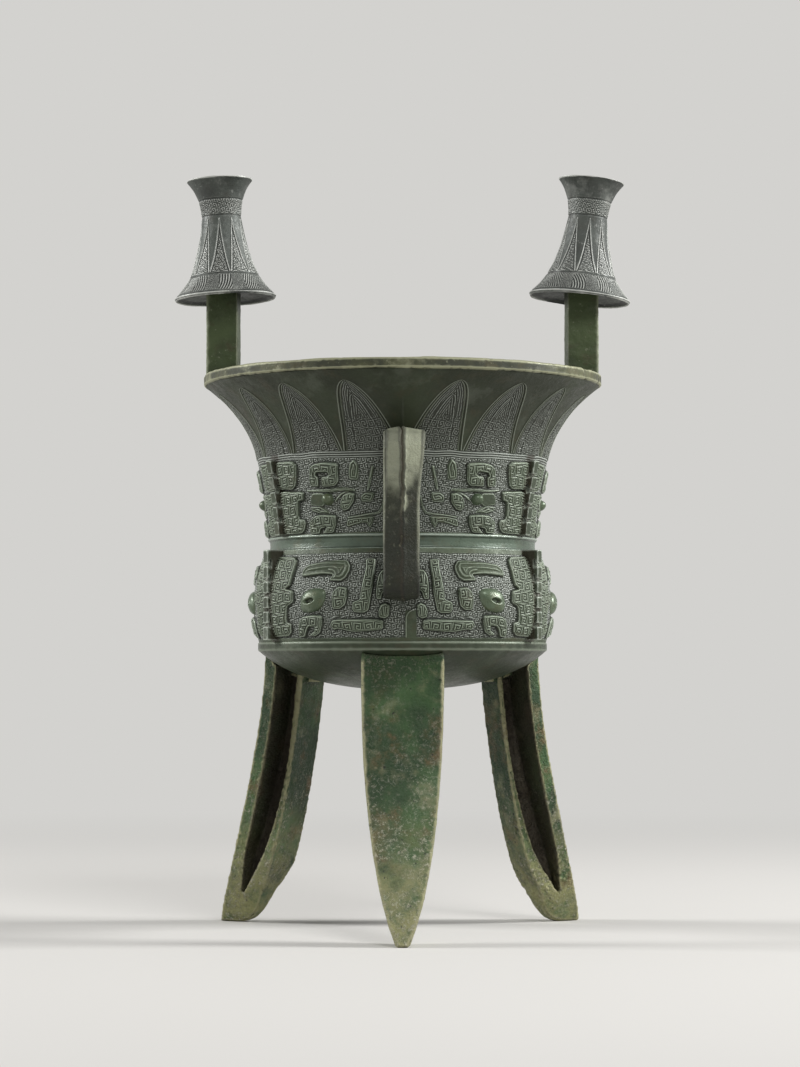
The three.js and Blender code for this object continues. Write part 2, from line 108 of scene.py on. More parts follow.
UPPER_FAINT = {
    "brow": [(59.8, 26), (52.3, 26.5), (26.5, 26.2), (26.4, 25.1), (40.7, 24.6), (59.7, 24.6)],
    "lid": [(56, 24.8), (51.2, 23.4), (46.6, 19.6), (47.3, 18.9), (51.8, 22.4), (56, 23.8)],
    "wing": [(43.6, 11.8), (40.3, 15), (35.8, 16.8), (29.2, 16.2), (29, 14.1), (35.4, 12.2)],
    "curl": [(71.5, 23.7), (66.2, 23.8), (63.7, 21.8), (63.6, 18.5), (70.7, 18.4), (71.6, 21.3)],
    "feather": [(60.3, 42.9), (57.8, 40.7), (56.9, 35.4), (56.9, 31.3), (61.8, 31), (62.7, 34.5),
        (62.6, 39.4)],
    "stalk": [(72.2, 39.2), (70.2, 39.2), (67.1, 25.4), (68.4, 25.4)],
    "claw": [(72, 10.2), (62.1, 9.7), (54.8, 8.4), (53.8, 5.2), (54.7, 4.3), (60.7, 5.9), (66.5, 6.6),
        (68.6, 3.3), (70.8, 6.1)],
    "spine": [(78.1, 22), (77, 15.3), (75.2, 11.6), (72, 10.8), (62.2, 9.9), (54.9, 8.8), (54.9, 9.8),
        (62.1, 10.9), (71.6, 11.9), (74.3, 12.5), (76, 15.7), (77.2, 22)],
}
SPIRAL_FILLED = ("column", "lower column", "body", "claw", "jaw", "horn", "ear", "hook", "knot")
ONE_ROW = ("claw", "knot")

# Under the handle: the arch as (distance to the right, height), its plain field and the seam
FRONT_ARCH = ((2, 12), (2, 18.2), (8.4, 18.2))
ARCH_RISE = 0.5
FIELD_RISE = 0.1
SEAM_RISE = 0.4
# The line along the upper edge of the lower register
LOWER_LINE = 49.9
LOWER_LINE_RISE = 0.35
# Lines over the upper register
TOP_LINES = 44.4
TOP_LINE_PITCH = 1.35
TOP_LINE_RISE = 0.16
# A plain field behind each upper eye
FIELD_STAND = 0.9
UPPER_FIELD = [(39.5, 24.3), (31, 24.4), (28.8, 21.6), (28.6, 17.2), (37.4, 16.2), (40, 18)]

# Blades on the neck: edges of their feet and their tips, in degrees on both sides of the handle
BLADE_EDGES = (0, 23, 46.8, 69, 91.2, 113.4, 135.6, 157.8, 180)
BLADE_TIPS = (17.5, 38.3, 58, 80.1, 102.3, 124.5, 146.7, 168.9)
BLADE_RISE = 0.36
BLADE_CELL = 4.2
BLADE_PITCH = 1.25
BLADE_FOOT = 281.3
BLADE_TOP = 319.8
# Ridges and grooves as (rise, distance inside the edge, width)
BLADE_BORDER = ((0.55, 0.6, 0.45), (-0.3, 1.4, 0.4), (0.2, 2.2, 0.4))
INNER_BORDER = ((0.3, 0.4, 0.4), (-0.25, -0.5, 0.4))

# Eyes: outlines of (distance away from the flange, height) about their middles
EYES = {
    "upper": {
        "curve": UPPER_CURVE, "height": 253.7, "spread": 28.5, "stand": 4.4, "bulge": 2, "slit": False,
        "outline": [(4, 1.5), (1.8, 3.5), (-1.8, 3.5), (-4, 1.5), (-4, -1.5), (-1.8, -3.5), (1.8, -3.5),
                    (4, -1.5)],
    },
    "lower": {
        "curve": LOWER_CURVE, "height": 195.2, "spread": 24.6, "stand": 4, "bulge": 2.8, "slit": True,
        "outline": [(9, 6.7), (-2.8, 7.2), (-9, 2.4), (-9.4, -6.8), (-2, -7.6), (5.6, -5.6), (9.2, 0.6)],
    },
}
EYE_STEPS = 56
SLIT_HALF_LENGTH = 3.6
SLIT_HALF_HEIGHT = 1.6
SLIT_SHIFT = 0.9
SLIT_DROP = 0.3
SLIT_TILT = 0.18
SLIT_DEPTH = 1.8
SLIT_LIP = 0.25
MASKS = {"right": 60, "back": 180, "left": -60}

# Flanges: (low, high, teeth)
FLANGES = {"right_front": 60, "right_back": 120, "back": 180, "left_back": -120, "left_front": -60}
FLANGE_THICKNESS = 5.5
UPPER_FLANGE = (234.1, 278, 5)
LOWER_FLANGE = (172.5, 225.4, 6)
UPPER_FLANGE_STAND = 5
LOWER_FLANGE_REACH = 93.2
FLANGE_ROOT = 2.6
# Strength of the painted shade beside the flanges and on their sides
FLANGE_PAINTED_SHADE = 0.7
FLANGE_VOXEL = 0.45
FLANGE_ROUNDING = 2
# Hooked notches, as (depth, height): over the foot of a tooth and under its top
NOTCH_OVER = ((3, 1.7), (3, 3.2), (1.7, 3.2), (1.7, 1), (0, 1))
NOTCH_UNDER = ((0, -1), (1.7, -1), (1.7, -2), (3, -2))

# Handle
HANDLE_REACH = 112
HANDLE_WIDTH = 20.8
HANDLE_THICKNESS = 5
HANDLE_RIDGE = 1.9
HANDLE_TOP = 289
HANDLE_FOOT = 198.5
HANDLE_CORNER = 9
HANDLE_BEVEL = 0.9
HANDLE_ROOT_TOP = 86.8
HANDLE_ROOT_FOOT = 87.4
HANDLE_SHIFT = 0.3

# Legs and posts
LEG_AZIMUTHS = {"front": 0, "right": 121.5, "left": -119}
VOXEL = 0.8
ROUNDING = 7
DENTS = 0.2
LEVEL = 3
HEEL_START = 11
HEEL_LENGTH = 19
HEEL_LIFT = 5
HEEL_HEIGHT = 42
BLADE_TRIM = 2.8
CLAY_RISE = 3.2

# Caps
CAP_LEVEL = 379.5
CAP_AZIMUTH = 94
CAP_CENTRE_RADIUS = 107.8
CAP_LEANS = {"left": 3, "right": 6}
CAP_SKIRT = ((30.9, 1.6), (15, 15.5), (12, 50))
CAP_FLARE = ((12, 50), (12.4, 64.5), (19.9, 73))
CAP_COLUMNS = 340
CAP_GROOVES = (2.4, 14.2, 50.8, 60.6)
CAP_GROOVE_DEPTH = 0.3
CAP_SLANT_TURN = 18
CAP_TRIANGLES = 10
CAP_TRIANGLE_FOOT = 15
CAP_TRIANGLE_HEIGHT = 34


# Curves and noise

def bend(curve, steps):
    """Points along a curve of two ends and the control point between them."""
    start, control, end = (np.array(p, float) for p in curve)
    t = np.linspace(0, 1, steps)[:, None]
    return (1 - t) ** 2 * start + 2 * t * (1 - t) * control + t ** 2 * end


def resampled(line, step):
    """The same line with points an even step apart."""
    line = np.asarray(line, float)
    travelled = np.concatenate([[0], np.cumsum(np.hypot(*np.diff(line, axis=0).T))])
    places = np.linspace(0, travelled[-1], max(int(travelled[-1] / step), 2))
    return np.stack([np.interp(places, travelled, line[:, axis]) for axis in (0, 1)], axis=1)


def stretch(line, low, high):
    """The part of a rising line between two heights."""
    inner = line[(line[:, 1] > low) & (line[:, 1] < high)]
    ends = [[(np.interp(height, line[:, 1], line[:, 0]), height)] for height in (low, high)]
    return np.concatenate([ends[0], inner, ends[1]])


def smooth(value, low, high):
    """From 0 at low to 1 at high, eased at both ends."""
    share = np.clip((value - low) / (high - low), 0, 1)
    return share * share * (3 - 2 * share)


def ridge(value, centre, width):
    """A rounded ridge of height 1."""
    return np.exp(-((value - centre) / width) ** 2)


def noise(points, size, seed):
    """Repeatable noise from -1 to 1 with features of a size in millimetres."""
    grid = np.asarray(points, float) / size
    cell = np.floor(grid).astype(np.int64)
    part = grid - cell
    part = part * part * (3 - 2 * part)
    total = np.zeros(grid.shape[:-1])
    for corner in np.ndindex(2, 2, 2):
        weight = np.prod(np.where(corner, part, 1 - part), axis=-1)
        key = ((cell + corner) * (73856093, 19349663, 83492791)).sum(-1) + seed * 7919
        key = key & 0xFFFFFFFF
        key = ((key ^ (key >> 15)) * 0x2C1B3C6D) & 0xFFFFFFFF
        key = ((key ^ (key >> 12)) * 0x297A2D39) & 0xFFFFFFFF
        total += weight * ((key ^ (key >> 15)) / 0x7FFFFFFF - 1)
    return total


def joined(x, y, z=0.0):
    """Points from coordinates over one grid."""
    return np.stack(np.broadcast_arrays(x, y, z), axis=-1)


def around(radius, azimuth, height):
    """Points in millimetres from radius, azimuth in degrees and height."""
    turn = np.radians(azimuth)
    x = radius * np.sin(turn)
    y = AXIS_Y - radius * np.cos(turn)
    return joined(x, y, height)


def spoke_axes(places, azimuth):
    """Distances outwards and across at an azimuth, and the two directions."""
    turn = radians(azimuth)
    out_axis = np.array([sin(turn), -cos(turn), 0])
    across_axis = np.array([cos(turn), sin(turn), 0])
    centred = places - (0, AXIS_Y, 0)
    return centred @ out_axis, centred @ across_axis, out_axis, across_axis


# Meshes

def add_object(name, data):
    made = bpy.data.objects.new(name, data)
    bpy.context.scene.collection.objects.link(made)
    return made


def add_piece(name, points, material, slot, nodes, wear=WEAR, closed=False, hand=1, **shares):
    """A piece from a grid of points in millimetres, which stands for CAD nodes."""
    mesh = bpy.data.meshes.new(name)
    faces = grid_faces(*points.shape[:2], closed)[:, ::hand].astype(np.int32)
    points = np.asarray(points, np.float32).reshape(-1, 3) * MM
    mesh.vertices.add(len(points))
    mesh.vertices.foreach_set("co", points.ravel())
    mesh.loops.add(faces.size)
    mesh.loops.foreach_set("vertex_index", faces.ravel())
    mesh.polygons.add(len(faces))
    mesh.polygons.foreach_set("loop_start", np.arange(len(faces), dtype=np.int32) * faces.shape[1])
    mesh.update(calc_edges=True)
    mesh.validate()
    finish_piece(name, mesh, material, slot, nodes, wear, **shares)


def finish_piece(name, mesh, material, slot, nodes, wear=WEAR, calm=0, **shares):
    """Puts a smooth mesh on the frame with its shares; where it is calm, no wear shows."""
    mesh.polygons.foreach_set("use_smooth", np.ones(len(mesh.polygons), bool))
    mesh.materials.clear()
    mesh.materials.append(material)
    store(mesh, "wear", 0.5 + (edge_wear(mesh, *wear) - 0.5) * (1 - calm))
    for share, values in shares.items():
        store(mesh, share, values)
    piece = add_object(name, mesh)
    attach(piece, "root")
    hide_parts(*nodes)


def store(mesh, name, values):
    """Keeps a share at each vertex for the materials."""
    share = mesh.attributes.new(name, "FLOAT", "POINT")
    share.data.foreach_set("value", np.ravel(values).astype(np.float32))


def vectors(source, key):
    values = np.empty(len(source) * 3, np.float32)
    source.foreach_get(key, values)
    return values.reshape(-1, 3).astype(float)


def vertex_places(mesh):
    return vectors(mesh.vertices, "co")


def vertex_normals(mesh):
    return vectors(mesh.vertex_normals, "vector")


def neighbour_mean(mesh, values, steps):
    """Values at the vertices, averaged with their neighbours in steps."""
    ends = np.empty(len(mesh.edges) * 2, np.int32)
    mesh.edges.foreach_get("vertices", ends)
    a, b = ends.reshape(-1, 2).T
    total = len(values)
    count = np.bincount(np.concatenate([a, b]), minlength=total) + 1.0

    def mean(column):
        return (column + np.bincount(a, column[b], total) + np.bincount(b, column[a], total)) / count

    for _ in range(steps):
        values = np.stack([mean(column) for column in values.T], axis=1)
    return values


def edge_wear(mesh, steps, depth):
    """0.5 on an even surface, up to 1 on a ridge or edge and down to 0 in a hollow."""
    places = vertex_places(mesh)
    offset = ((places - neighbour_mean(mesh, places, steps)) * vertex_normals(mesh)).sum(1) / MM
    return np.clip(0.5 + 0.5 * offset / depth, 0, 1)


def grid_faces(rows, columns, closed=False):
    """Quads over a grid of points, and round its columns where they close."""
    across = np.arange(columns if closed else columns - 1)
    row, column = np.meshgrid(np.arange(rows - 1), across, indexing="ij")
    here = row * columns + column
    beside = row * columns + (column + 1) % columns
    return np.stack([here, beside, beside + columns, here + columns], axis=-1).reshape(-1, 4)


def outward(line):
    """Unit normals on the right of a line."""
    along = np.gradient(np.asarray(line, float), axis=0)
    along /= np.hypot(*along.T)[:, None]
    return np.stack([along[:, 1], -along[:, 0]], axis=1)


def turned_points(line, azimuths, relief=0):
    """Grid of points of a turned surface with relief along its normals."""
    normals = outward(line)
    radius = line[:, 0, None] + normals[:, 0, None] * relief
    height = line[:, 1, None] + normals[:, 1, None] * relief
    return around(radius, azimuths[None, :], height)


# Relief of the registers and the neck

def rounded(outline, cut=0.14, times=2):
    """An outline with its corners cut to curves."""
    corners = np.array(outline, float)
    for _ in range(times):
        following = np.roll(corners, -1, axis=0)
        pair = [(1 - cut) * corners + cut * following, cut * corners + (1 - cut) * following]
        corners = np.stack(pair, axis=1).reshape(-1, 2)
    return corners


def distance_to(path, across, up):
    """Distance to a line through points."""
    nearest = np.full(across.shape, 1e9)
    for (ax, ay), (bx, by) in zip(path[:-1], path[1:]):
        ex, ey = bx - ax, by - ay
        share = np.clip(((across - ax) * ex + (up - ay) * ey) / (ex * ex + ey * ey), 0, 1)
        nearest = np.minimum(nearest, np.hypot(across - ax - share * ex, up - ay - share * ey))
    return nearest


def inside_depth(outline, across, up):
    """Distance to an outline, positive inside it."""
    closed = np.concatenate([outline, outline[:1]])
    inside = np.zeros(across.shape, bool)
    for (ax, ay), (bx, by) in zip(closed[:-1], closed[1:]):
        if ay != by:
            inside ^= ((ay > up) != (by > up)) & (across < ax + (up - ay) * (bx - ax) / (by - ay))
    nearest = distance_to(closed, across, up)
    return np.where(inside, nearest, -nearest)


def spirals(across, up, cell, pitch):
    """Rows of square spirals: 1 on a line, 0 in the groove beside it."""
    row = np.floor(up / cell)
    shifted = across / cell + 0.5 * (row % 2)
    column = np.floor(shifted)
    x = (shifted - column - 0.5) * cell
    y = (up / cell - row - 0.5) * cell
    hand = np.where((row + column) % 2 > 0, 1, -1)
    rings = np.maximum(np.abs(x), np.abs(y)) / pitch
    return 0.5 + 0.5 * np.cos(2 * np.pi * rings + hand * np.arctan2(y, x))


def outline_spiral(outline, depth, across, up, pitch):
    """Lines that follow an outline and wind in towards its middle."""
    middle = np.mean(outline, axis=0)
    turn = np.arctan2(up - middle[1], across - middle[0])
    return 0.5 + 0.5 * np.cos(2 * np.pi * (depth + 0.45) / pitch + turn)


def fine_ground(across, up):
    """Small, rough spirals that fill the ground."""
    spot = joined(across, up)
    across = across + 0.5 * noise(spot, 3.1, 15)
    up = up + 0.5 * noise(spot, 3.1, 16)
    lines = spirals(across, up, GROUND_CELL, GROUND_PITCH)
    return GROUND_RISE * (lines - 0.5) + GROUND_ROUGH * noise(spot, 0.9, 17)


def raised(mask, stand, across, up, height, ground):
    """Lined elements on top of a height, and the share of ground that is left."""
    for name, outline in mask.items():
        outline = rounded(outline)
        depth = inside_depth(outline, across, up)
        pitch = QUILL_PITCH if name == "quill" else ELEMENT_PITCH
        lines = outline_spiral(outline, depth, across, up, pitch)
        if name in SPIRAL_FILLED:
            middle = np.mean(outline, axis=0)
            foot = middle[1] - (ELEMENT_CELL / 2 if name in ONE_ROW else 0)
            fill = spirals(across - middle[0], up - foot, ELEMENT_CELL, ELEMENT_PITCH)
            filled = smooth(depth, 1, 1.4)
            lines = lines * (1 - filled) + fill * filled
        lines = LINE_RISE * (lines - 0.5) * smooth(depth, 0.1, 0.6)
        share = smooth(depth, -0.5, 0.5)
        height = height * (1 - share) + (stand * (1 + 0.3 * smooth(depth, -0.4, 3)) + lines) * share
        ground = np.minimum(ground, 1 - share)
    return height, ground


def hand_cut(line, azimuths, radius, bottom, seed):
    """Distance from a mask's flange and height in the register, with a small wander."""
    around_wall = np.broadcast_to(np.radians(azimuths) * radius, (len(line), len(azimuths)))
    up = np.broadcast_to(line[:, 1, None] - bottom, around_wall.shape)
    spot = joined(around_wall, up)
    across = np.radians(np.abs(azimuths % (2 * HALF_MASK) - HALF_MASK)) * radius
    return across + 0.5 * noise(spot, 9, seed), up + 0.4 * noise(spot, 9, seed + 1)


def beside_handle(line, azimuths):
    """Millimetres to the right of the handle, along the wall."""
    return np.radians((azimuths + 180) % 360 - 180) * line[:, 0, None]


def beside_flange(line, azimuths):
    """1 beside a flange, 0 a few millimetres away and at the handle: where painted shade lies."""
    turn = azimuths % 360
    nearest = np.round(turn / HALF_MASK) * HALF_MASK
    away = np.radians(np.abs(turn - nearest)) * line[:, 0, None]
    return smooth(away, 6.5, 2.6) * (nearest % 360 > 0)


def lower_relief(line, azimuths):
    """Heights over the lower register, and the share of ground."""
    across, up = hand_cut(line, azimuths, LOWER_MASK_RADIUS, LOWER_CURVE[0][1], seed=3)
    ground = np.ones(across.shape)
    height, ground = raised(LOWER_MASK, RAISE, across, up, fine_ground(across, up), ground)
    beside = beside_handle(line, azimuths)
    arch = [(FRONT_ARCH[0][0], 0), *bend(FRONT_ARCH, 8)]
    under_handle = smooth(beside, 1.2, 2) * smooth(beside, 8.6, 7.4) * smooth(up, 18.4, 16.8)
    height = height * (1 - under_handle) + FIELD_RISE * under_handle
    height = height + ARCH_RISE * ridge(distance_to(arch, beside, up), 0, 0.5)
    height = height + SEAM_RISE * ridge(beside, 0, 0.45) * smooth(up, 28, 24)
    height = height + LOWER_LINE_RISE * ridge(up, LOWER_LINE, 0.4)
    plain = np.maximum(smooth(up, 50.4, 51), smooth(up, 2.3, 1.7))
    return height * (1 - plain) + PLAIN_RISE * plain, ground * (1 - plain) * (1 - under_handle)


def upper_relief(line, azimuths):
    """Heights over the upper register, and the share of ground."""
    across, up = hand_cut(line, azimuths, UPPER_MASK_RADIUS, UPPER_CURVE[0][1], seed=5)
    field = smooth(inside_depth(rounded(UPPER_FIELD), across, up), -0.4, 0.6)
    height = fine_ground(across, up) * (1 - field) + FIELD_STAND * field
    height, ground = raised(UPPER_FAINT, FAINT_RAISE, across, up, height, 1 - field)
    height, ground = raised(UPPER_MASK, RAISE, across, up, height, ground)
    top = smooth(up, 43.4, 43.9)
    lines = np.cos(2 * np.pi * (up - TOP_LINES) / TOP_LINE_PITCH)
    height = height * (1 - top) + top * TOP_LINE_RISE * lines
    foot = smooth(up, 1.2, 0.6)
    return height * (1 - foot) + PLAIN_RISE * foot, ground * (1 - foot)


def with_ridges(height, depth, rows):
    """A height with ridges and grooves added along an edge."""
    for rise, centre, width in rows:
        height = height + rise * ridge(depth, centre, width)
    return height


def neck_relief(line, azimuths):
    """Heights of the blades on the neck, and the share that is lined."""
    side = np.abs((azimuths + 180) % 360 - 180)
    blade = np.clip(np.searchsorted(BLADE_EDGES, side, side="right") - 1, 0, len(BLADE_TIPS) - 1)
    left = np.take(BLADE_EDGES, blade)
    right = np.take(BLADE_EDGES, blade + 1)
    rise = (line[:, 1, None] - BLADE_FOOT) / (BLADE_TOP - BLADE_FOOT)
    centre = (left + right) / 2 * (1 - rise) + np.take(BLADE_TIPS, blade) * rise
    to_mm = np.radians(line[:, 0, None])

    def leaf_depth(width, top):
        half = width * (right - left) / 2 * np.sqrt(np.clip(1 - rise / top, 0, 1))
        return (half - np.abs(side - centre)) * to_mm * 0.9

    depth = leaf_depth(1, 1)
    inner = leaf_depth(0.5, 0.8)
    across = (side - centre) * to_mm
    up = np.broadcast_to(line[:, 1, None] - BLADE_FOOT, across.shape)
    lined = smooth(depth, 2.5, 3)
    height = with_ridges(with_ridges(0, depth, BLADE_BORDER), inner, INNER_BORDER)
    spot = joined(across, up)
    sway = noise(spot, 4, 18)
    blocks = spirals(across + 0.4 * sway, up + 0.4 * noise(spot, 4, 19), BLADE_CELL, BLADE_PITCH)
    stripes = 0.5 + 0.5 * np.cos(2 * np.pi * (depth + 0.3 * sway) / BLADE_PITCH)
    tip = smooth(rise, 0.42, 0.58)
    fill = BLADE_RISE * (stripes * tip + blocks * (1 - tip) - 0.5) + 0.1 * noise(spot, 0.9, 17)
    height = (height + fill * lined) * smooth(rise, 1.03, 0.97)
    seam = SEAM_RISE * ridge(beside_handle(line, azimuths), 0, 0.5) * smooth(line[:, 1, None], 313, 306)
    return height + seam, lined


# Patina: colours of crust and of painted shade with clay, and heights in metres between which the legs
# change

CRUST = "d2ceb8"
SHADE_AND_CLAY = "332b20"
WARM_HEIGHTS = (0.145, 0.115)
CRUST_HEIGHTS = (0.115, 0.06)
TOE_HEIGHTS = (0.085, 0.01)


def linear(code):
    """Linear colour from a hex code."""
    shares = [int(code[i:i + 2], 16) / 255 for i in (0, 2, 4)]
    return [s / 12.92 if s <= 0.04045 else ((s + 0.055) / 1.055) ** 2.4 for s in shares] + [1]


class Nodes:
    """The nodes of a material or world."""

    def __init__(self, owner):
        owner.use_nodes = True
        self.tree = owner.node_tree

    def add(self, kind, inputs=None, **settings):
        made = self.tree.nodes.new(f"ShaderNode{kind}")
        for key, value in settings.items():
            setattr(made, key, value)
        for key, value in (inputs or {}).items():
            self.feed(made.inputs[key], value)
        return made

    def feed(self, socket, value):
        """Links a socket, or sets it to a value or to the colour of a hex code."""
        if isinstance(value, bpy.types.NodeSocket):
            self.tree.links.new(value, socket)
        else:
            socket.default_value = linear(value) if isinstance(value, str) else value

    def maths(self, operation, first, second):
        return self.add("Math", {0: first, 1: second}, operation=operation).outputs[0]

    def product(self, first, second):
        return self.maths("MULTIPLY", first, second)

    def shown_directly(self):
        """1 for rays that show the background: seen, mirrored or let through."""
        path = self.add("LightPath").outputs
        shown = self.maths("MAXIMUM", path["Is Camera Ray"], path["Is Glossy Ray"])
        return self.maths("MAXIMUM", shown, path["Is Transmission Ray"])

    def mix_into(self, output, factor, first, second):
        """Shows two shaders mixed by a factor."""
        mix = self.add("MixShader", {0: factor, 1: first.outputs[0], 2: second.outputs[0]})
        self.feed(self.tree.nodes[output].inputs["Surface"], mix.outputs[0])


class Shader(Nodes):
    """A new material."""

    def __init__(self, name):
        self.material = bpy.data.materials.new(name)
        super().__init__(self.material)
        self.surface = self.tree.nodes["Principled BSDF"]
        self.places = self.add("TexCoord").outputs["Object"]

    def noise(self, size, detail=5, roughness=0.6, shift=0.0):
        """Noise with features of a size in millimetres."""
        offset = (shift, shift * 0.7, shift * 1.3)
        moved = self.add("VectorMath", {0: self.places, 1: offset}, operation="ADD").outputs[0]
        inputs = {"Vector": moved, "Scale": 1 / (size * MM), "Detail": detail, "Roughness": roughness}
        return self.add("TexNoise", inputs).outputs["Fac"]

    def attribute(self, name):
        return self.add("Attribute", attribute_name=name).outputs["Fac"]

    def ramp(self, value, low, high, start=0.0, end=1.0):
        inputs = {"Value": value, "From Min": low, "From Max": high, "To Min": start, "To Max": end}
        return self.add("MapRange", inputs, interpolation_type="SMOOTHSTEP").outputs["Result"]

    def blend(self, factor, first, second):
        return self.add("Mix", {0: factor, 6: first, 7: second}, data_type="RGBA").outputs[2]


def patina(name, base, stain, warm, pale, dark, ground=None, lines=None, toe=None, worn=0.8, hollow=0.6,
           warmth=0.55, crust=0.4, flecks=0.0, scale=0.0, patches=11, metallic=0.25, rough=(0.4, 0.64),
           pits=0.25, lumps=0.4, rugged=0.35):
    """Old bronze with stains, warm patches, pale crust, worn edges and dark hollows, plus painted shade
    and clay from a share.
    """
    shader = Shader(f"{name} patina")
    ramp, blend, product = shader.ramp, shader.blend, shader.product
    broad = shader.noise(42, 5, 0.6)
    mottle = shader.noise(11, 6, 0.68, 0.31)
    warm_patch = shader.noise(patches, 6, 0.68, 0.47)
    blotch = shader.noise(19, 6, 0.62, 0.77)
    grain = shader.noise(1.3, 4, 0.6, 0.13)
    wear = shader.attribute("wear")

    colour = blend(ramp(broad, 0.4, 0.62), base, stain)
    height = shader.add("SeparateXYZ", {0: shader.places}).outputs["Z"]
    warming = ramp(warm_patch, 0.5, 0.68, 0, warmth)
    if toe:
        warming = product(warming, ramp(height, *WARM_HEIGHTS, 0.3, 1.0))
    colour = blend(warming, colour, warm)
    colour = blend(ramp(blotch, 0.54, 0.72, 0, crust), colour, pale)
    edge = pale
    if ground:
        share = product(shader.attribute("ground"), 0.8)
        colour = blend(share, colour, ground)
    if lines:
        edge = blend(shader.attribute("ground"), pale, lines)
    if toe:
        low = product(ramp(height, *TOE_HEIGHTS), ramp(mottle, 0.3, 0.62))
        colour = blend(low, colour, toe)
    colour = blend(ramp(wear, 0.54, 0.85, 0, worn), colour, edge)
    colour = blend(ramp(wear, 0.46, 0.12, 0, hollow), colour, dark)
    colour = blend(ramp(grain, 0.36, 0.26, 0, pits), colour, dark)
    fleck = ramp(shader.noise(2.4, 3, 0.6, 0.51), 0.62, 0.72, 0, flecks)
    colour = blend(fleck, colour, pale)
    bumps = shader.maths("ADD", product(mottle, 1.5), grain)
    if scale:
        clusters = ramp(shader.noise(24, 5, 0.65, 0.91), 0.38, 0.56)
        clusters = product(clusters, ramp(height, *CRUST_HEIGHTS, 0.3, 1.0))
        flakes = ramp(shader.noise(2.2, 6, 0.85, 0.63), 0.52, 0.61)
        flakes = product(flakes, clusters)
        colour = blend(product(flakes, scale), colour, CRUST)
        holes = ramp(shader.noise(2.3, 2, 0.5, 0.29), 0.31, 0.26, 0, 0.9)
        colour = blend(holes, colour, dark)
        bumps = shader.maths("SUBTRACT", shader.maths("ADD", bumps, flakes), holes)
    # Painted shade beside the flanges, in the legs' recesses, on their tops and along the handle's crack;
    # clay colour on the legs' webs
    colour = blend(shader.attribute("dirt"), colour, SHADE_AND_CLAY)
    shader.feed(shader.surface.inputs["Base Color"], colour)

    shine = product(shader.maths("ADD", mottle, grain), 0.5)
    shader.feed(shader.surface.inputs["Roughness"], ramp(shine, 0.35, 0.65, *rough))
    shader.surface.inputs["Metallic"].default_value = metallic
    bump = shader.add("Bump", {"Height": bumps, "Strength": rugged, "Distance": lumps * MM})
    shader.feed(shader.surface.inputs["Normal"], bump.outputs["Normal"])
    return shader.material


BODY = patina("body", base="353f2d", stain="404b36", warm="45432e", pale="96a18f", dark="0d100a",
              ground="353a32", lines="c6ccc4", hollow=0.88, crust=0.2)
# Neck: a darker copy of the body's patina, olive-brown, darkened as painted shade under the rim
NECK = patina("neck", base="282e1d", stain="333b28", warm="3a3724", pale="878d80", dark="0d0f09",
              ground="2f322b", lines="92978f", crust=0.15)
BAND = patina("band", base="485548", stain="5a695a", warm="55553f", pale="a3afa2", dark="1a1f18",
              crust=0.12, rough=(0.26, 0.4))
# Bowl, base band and inside: a darker copy of the band's patina, dark green, darkened as painted shade
# under and inside the body
BOWL = patina("bowl", base="28311f", stain="343f2b", warm="3a3725", pale="747d6c", dark="12160e",
              crust=0.3, rough=(0.34, 0.56))
RIM = patina("rim", base="2f3224", stain="55573a", warm="4b4529", pale="a3a486", dark="14150e",
             crust=0.6, flecks=0.35)
LEG = patina("leg", base="1f3a19", stain="416035", warm="6a5736", pale="a8a480", dark="0f150b",
             toe="8f8f62", worn=0.75, warmth=0.9, crust=0.45, flecks=0.2, scale=0.8, patches=20, pits=0.75,
             lumps=1.4, rugged=0.85)
# Handle: a dark olive base, darkened further as painted shade; its pale ground colour marks worn edges and
# painted light on the upper face
HANDLE = patina("handle", base="1b1f11", stain="292d1b", warm="2a2616", pale="8e907a", dark="0b0c06",
                ground="aeb29a", crust=0.2, flecks=0.2, metallic=0.15, rough=(0.5, 0.72), lumps=0.9,
                rugged=0.7)
POST = patina("post", base="2d381d", stain="414e2c", warm="3f3a23", pale="8d927b", dark="11150b",
              worn=0.6, crust=0.2, flecks=0.35)
CAP = patina("cap", base="3a3d3a", stain="4c514c", warm="45433c", pale="bec0ba", dark="121412",
             ground="2a3226", worn=0.9, hollow=0.85, warmth=0.4, crust=0.3, flecks=0.25)
FLANGE = patina("flange", base="363f2f", stain="424c3a", warm="464330", pale="b2baae", dark="0f120c",
                worn=0.95)
EYE = patina("eye", base="4a5842", stain="5b6a54", warm="55573c", pale="a3ae9d", dark="0c0f09",
             worn=0.4, hollow=0.8, rough=(0.24, 0.42))


# Body: sectors of the wall by their first azimuths, and (columns, step) of their grids

SECTORS = {"front_left": -60, "front_right": 0, "right": 60,
           "back_right": 120, "back_left": 180, "left": 240}
FRONT_GRID = (360, 0.28)
BACK_GRID = (220, 0.42)
NECK_TOP = NECK_CURVE[-1][1]
upper_line = np.concatenate([bend(UPPER_CURVE, 80), bend(NECK_CURVE, 80)[1:]])
REGISTERS = {
    "lower_register": (bend(LOWER_CURVE, 80), lower_relief, BODY),
    "upper_register": (stretch(upper_line, UPPER_CURVE[0][1], BLADE_FOOT), upper_relief, BODY),
    "neck": (stretch(upper_line, BLADE_FOOT, NECK_TOP), neck_relief, NECK),
}
for register, (curve_line, relief, material) in REGISTERS.items():
    for sector, first in SECTORS.items():
        columns, step = FRONT_GRID if "front" in sector else BACK_GRID
        line = resampled(curve_line, step)
        azimuths = np.linspace(first, first + HALF_MASK, columns + 1)
        heights, ground = relief(line, azimuths)
        flat = turned_points(line, azimuths)
        heights = heights + 0.12 * noise(flat, 6, 11) + 0.04 * noise(flat, 1.6, 12)
        points = turned_points(line, azimuths, heights)
        # Painted shade on the wall beside the flanges
        painted_shade = FLANGE_PAINTED_SHADE * beside_flange(line, azimuths) * (relief is not neck_relief)
        add_piece(f"{register}_{sector}", points, material, "body_bronze", ["vessel_body"], RELIEF_WEAR,
                  ground=ground, dirt=painted_shade)


